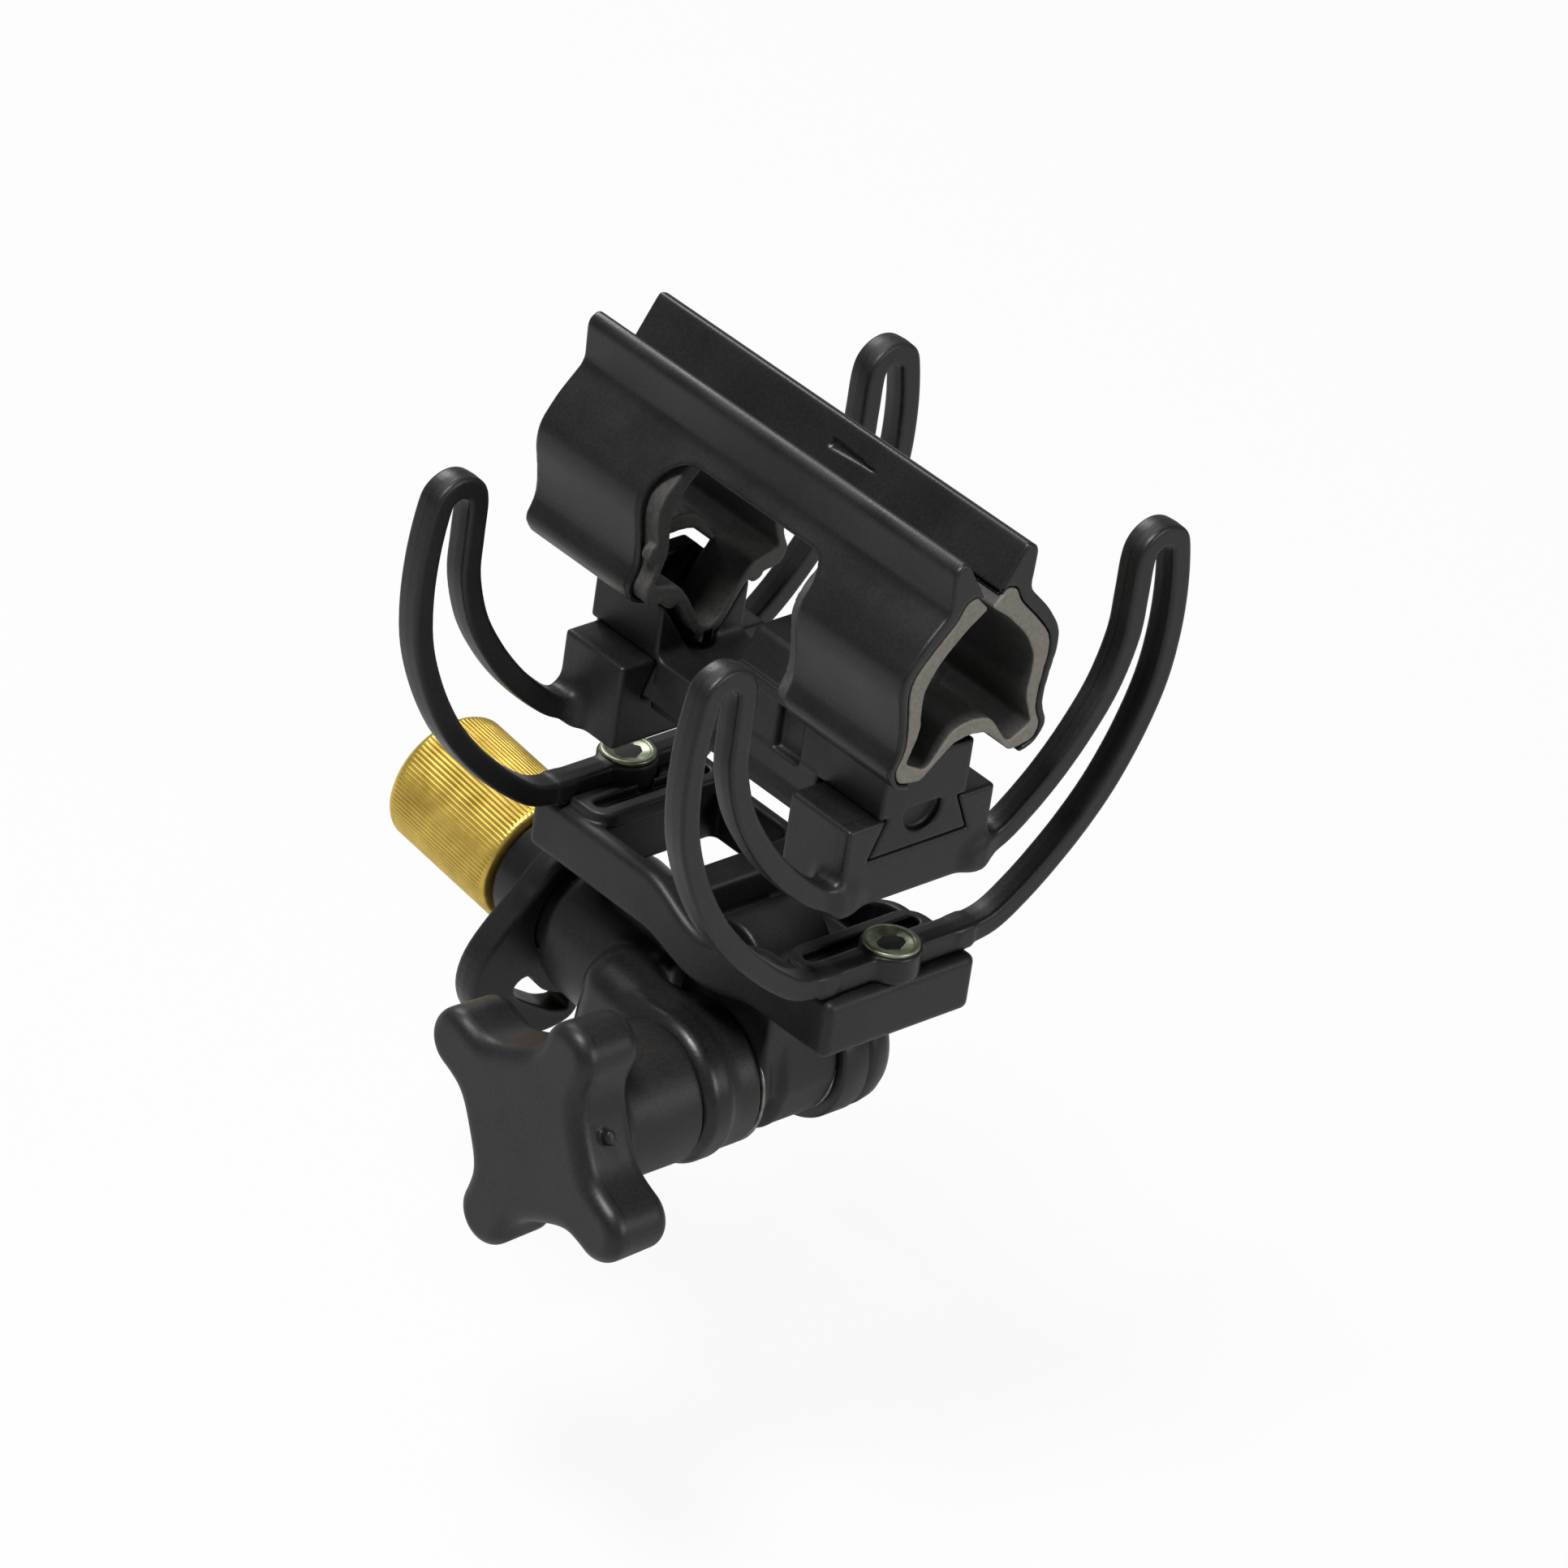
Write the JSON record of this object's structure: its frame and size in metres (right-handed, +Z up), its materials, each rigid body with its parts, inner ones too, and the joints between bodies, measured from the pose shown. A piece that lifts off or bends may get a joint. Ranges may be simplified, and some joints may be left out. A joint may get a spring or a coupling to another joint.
{
  "type": "lyre suspension microphone mount",
  "caption": "Lyre suspension mount with a lined snap clip for a pencil microphone, a tilt swivel clamped by a star knob, a cable hook and a knurled brass stand adapter.",
  "frame": {"origin": "centre of the open end of the brass stand adapter, where the stand's stud enters", "axes": "+Z up from the bar towards the clip, Y along the held microphone with the clip's front end towards -Y, X across, knob on the -X side"},
  "size_m": [0.0884, 0.1002, 0.1163],
  "materials": {
    "black_nylon": "black glass-filled nylon, satin with a fine moulded grain",
    "grey_elastomer": "dark grey soft elastomer with a paler cut end",
    "passivated_steel": "steel screw with a dull olive passivated finish",
    "plain_steel": "plain satin steel",
    "insert_brass": "plain turned brass",
    "adapter_brass": "bright brass with a fine straight knurl"
  },
  "bodies": {
    "adapter": {"brass_adapter": "adapter_brass"},
    "base": {"swivel_body": "black_nylon", "cable_hook": "black_nylon", "adapter_screw": "plain_steel"},
    "bar": {"bar": "black_nylon", "hinge_cap": "black_nylon", "hinge_nut": "plain_steel", "hinge_washer_left": "plain_steel", "hinge_washer_right": "plain_steel", "lyre_front": "black_nylon", "lyre_rear": "black_nylon", "lyre_screw_front": "passivated_steel", "lyre_screw_rear": "passivated_steel", "lyre_insert_front": "insert_brass", "lyre_insert_rear": "insert_brass"},
    "knob": {"knob": "black_nylon", "clamp_bolt": "plain_steel"},
    "carrier": {"carrier": "black_nylon"},
    "jaw_right": {"clip_shell_right": "black_nylon", "clip_liner_right": "grey_elastomer"},
    "jaw_left": {"clip_shell_left": "black_nylon", "clip_liner_left": "grey_elastomer"}
  },
  "joints": [
    {"name": "adapter_swivel", "type": "hinge", "parent": "adapter", "child": "base", "pos_m": [0, 0, 0], "axis": [0, 0.9938, 0.1115], "continuous": true},
    {"name": "tilt", "type": "hinge", "parent": "base", "child": "bar", "pos_m": [0, -0.06827, -0.00766], "axis": [1, 0, 0], "range_deg": [-2, 150]},
    {"name": "knob_turn", "type": "hinge", "parent": "base", "child": "knob", "pos_m": [0, -0.06827, -0.00766], "axis": [1, 0, 0], "continuous": true},
    {"name": "bounce", "type": "slide", "parent": "bar", "child": "carrier", "axis": [0, 0, 1], "range_m": [-0.003, 0.003], "stiffness_N_per_m": 900, "deforming": ["lyre_front", "lyre_rear"]},
    {"name": "jaw_right_open", "type": "hinge", "parent": "carrier", "child": "jaw_right", "pos_m": [0.007, -0.06357, 0.04784], "axis": [0, 1, 0], "range_deg": [0, 5], "stiffness_Nm_per_rad": 3},
    {"name": "jaw_left_open", "type": "hinge", "parent": "carrier", "child": "jaw_left", "pos_m": [-0.007, -0.06357, 0.04784], "axis": [0, -1, 0], "range_deg": [0, 5], "stiffness_Nm_per_rad": 3}
  ],
  "couplings": [
    {"joint": "jaw_left_open", "follows": "jaw_right_open", "ratio": 1}
  ]
}
